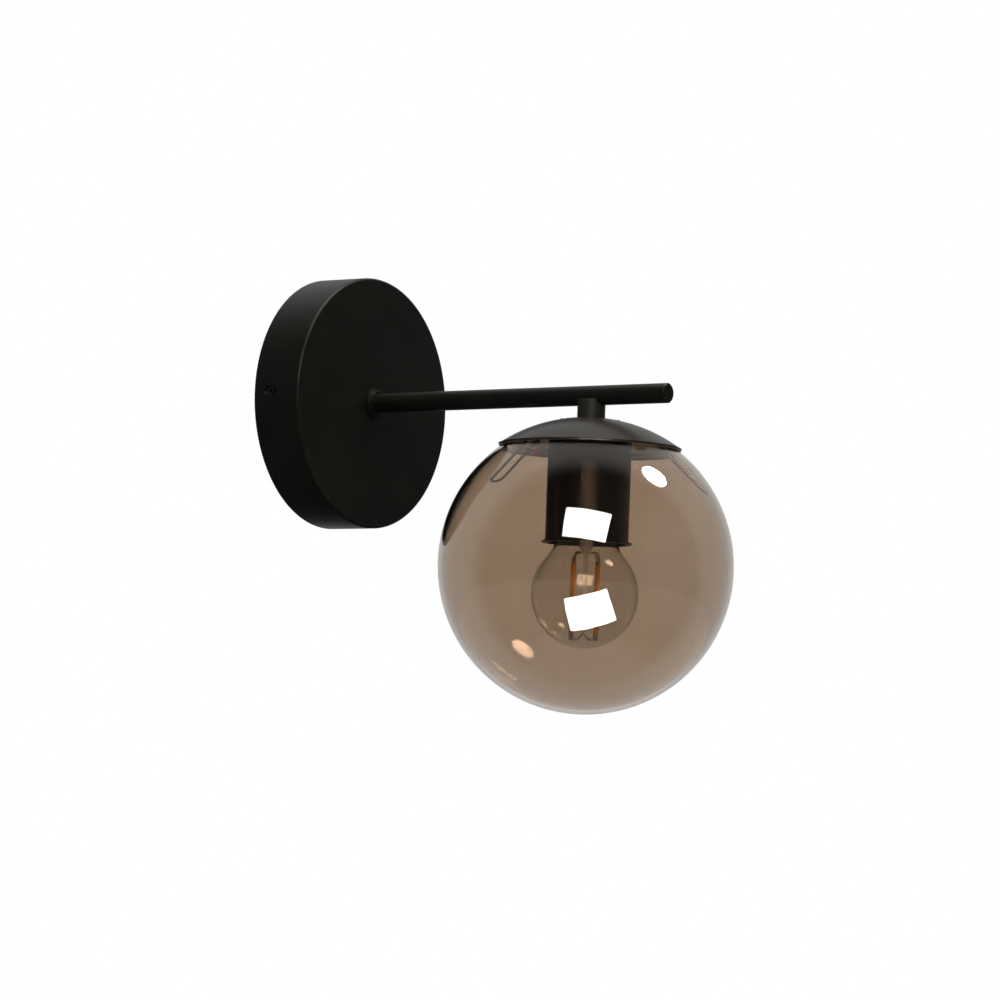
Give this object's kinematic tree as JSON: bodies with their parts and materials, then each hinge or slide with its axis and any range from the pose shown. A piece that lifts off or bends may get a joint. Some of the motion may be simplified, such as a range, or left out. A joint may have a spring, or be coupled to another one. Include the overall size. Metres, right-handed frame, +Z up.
{
  "type": "globe wall sconce",
  "caption": "Wall light with a round canopy, straight arm and a domed cap that holds a smoked glass globe over a filament bulb.",
  "frame": {"origin": "centre of the canopy on the wall plane, midway between the two wall screw slots", "axes": "+Y points into the wall and -Y along the arm, +Z up, +X to the right for someone facing the wall"},
  "size_m": [0.15, 0.2405, 0.228],
  "materials": {
    "black_paint": "fine matt black powder coat with a soft sheen",
    "dome_paint": "satin black paint outside, pale grey inside",
    "black_cup": "satin black",
    "black_screw": "black oxide",
    "zinc_steel": "zinc plated steel",
    "spring_steel": "oiled spring wire",
    "brass_parts": "plain brass",
    "nickel_cap": "nickel plated brass",
    "solder_tip": "solder",
    "white_plastic": "natural nylon",
    "red_sleeve": "red vinyl insulation",
    "brown_sheath": "brown vinyl insulation",
    "blue_sheath": "blue vinyl insulation",
    "holder_ceramic": "glazed porcelain",
    "cap_glass": "black vitrite glass",
    "smoked_glass": "smoke tinted, mirror-like gloss",
    "clear_glass": "clear",
    "mount_glass": "clear pressed glass",
    "filament_amber": "amber phosphor, unlit",
    "support_wire": "drawn wire"
  },
  "bodies": {
    "fixture": {"canopy": "black_paint", "mounting_bracket": "zinc_steel", "canopy_side_screws": "black_screw", "earth_washer": "zinc_steel", "earth_screw": "brass_parts", "terminal_block": "white_plastic", "arm_collar": "black_paint", "arm_tube": "black_paint", "arm_end_cap": "black_paint", "arm_nipple": "zinc_steel", "arm_washer": "zinc_steel", "arm_lock_nut": "zinc_steel", "stem": "black_paint", "head_nipple": "zinc_steel", "head_spacer": "zinc_steel", "dome_cap": "dome_paint", "spring_clips": "spring_steel", "dome_earth_stud": "zinc_steel", "dome_earth_nut": "zinc_steel", "earth_ring_terminal": "zinc_steel", "earth_sleeve": "red_sleeve", "lampholder_cup": "black_cup", "lampholder_body": "holder_ceramic", "lampholder_shell": "brass_parts", "lampholder_contact": "brass_parts", "live_lead": "brown_sheath", "neutral_lead": "blue_sheath"},
    "globe_body": {"globe": "smoked_glass"},
    "bulb": {"bulb_envelope": "clear_glass", "bulb_cap": "nickel_cap", "bulb_insulator": "cap_glass", "bulb_contact": "solder_tip", "bulb_mount": "mount_glass", "bulb_filaments": "filament_amber", "bulb_support_wires": "support_wire"}
  },
  "joints": [
    {"name": "globe_pull", "type": "slide", "parent": "fixture", "child": "globe_body", "axis": [0, 0, -1], "range_m": [0, 0.115], "deforming": ["spring_clips"]},
    {"name": "bulb_unscrew", "type": "slide", "parent": "fixture", "child": "bulb", "axis": [0, 0, -1], "range_m": [0, 0.026]}
  ]
}
